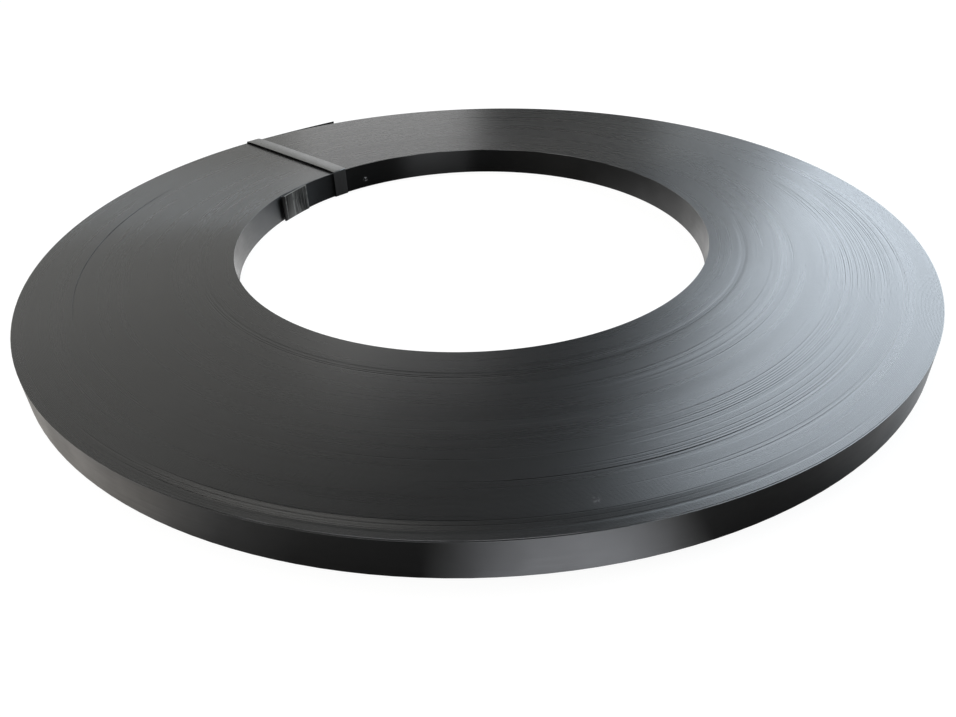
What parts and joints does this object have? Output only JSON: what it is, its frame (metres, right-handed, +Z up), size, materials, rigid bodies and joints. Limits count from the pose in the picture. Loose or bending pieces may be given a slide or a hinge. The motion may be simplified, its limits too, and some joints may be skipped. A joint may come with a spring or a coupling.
{
  "type": "roll of steel strapping",
  "caption": "Flat steel strapping wound into a wide, thin, open-centred roll, lying flat and held by one crimped steel tie across its section.",
  "frame": {"origin": "on the axis of the roll, on the floor that the roll lies on, under the tie's lower run", "axes": "+Z up along the axis of the roll, +Y from the axis towards the tie, +X to the right as seen from the tie's opposite side"},
  "size_m": [0.7343, 0.7373, 0.0284],
  "materials": {
    "coated_strap": "thin satin black coating over cold-rolled steel, wiped with wax, its turn edges rubbed to bare grey",
    "tie_steel": "thin satin grey-black coating over steel, paler where the band is rubbed",
    "seal_steel": "plain oiled sheet steel, dull grey"
  },
  "bodies": {
    "root": {"strap_coil": "coated_strap", "tie_band": "tie_steel", "tie_seal": "seal_steel"}
  },
  "joints": []
}
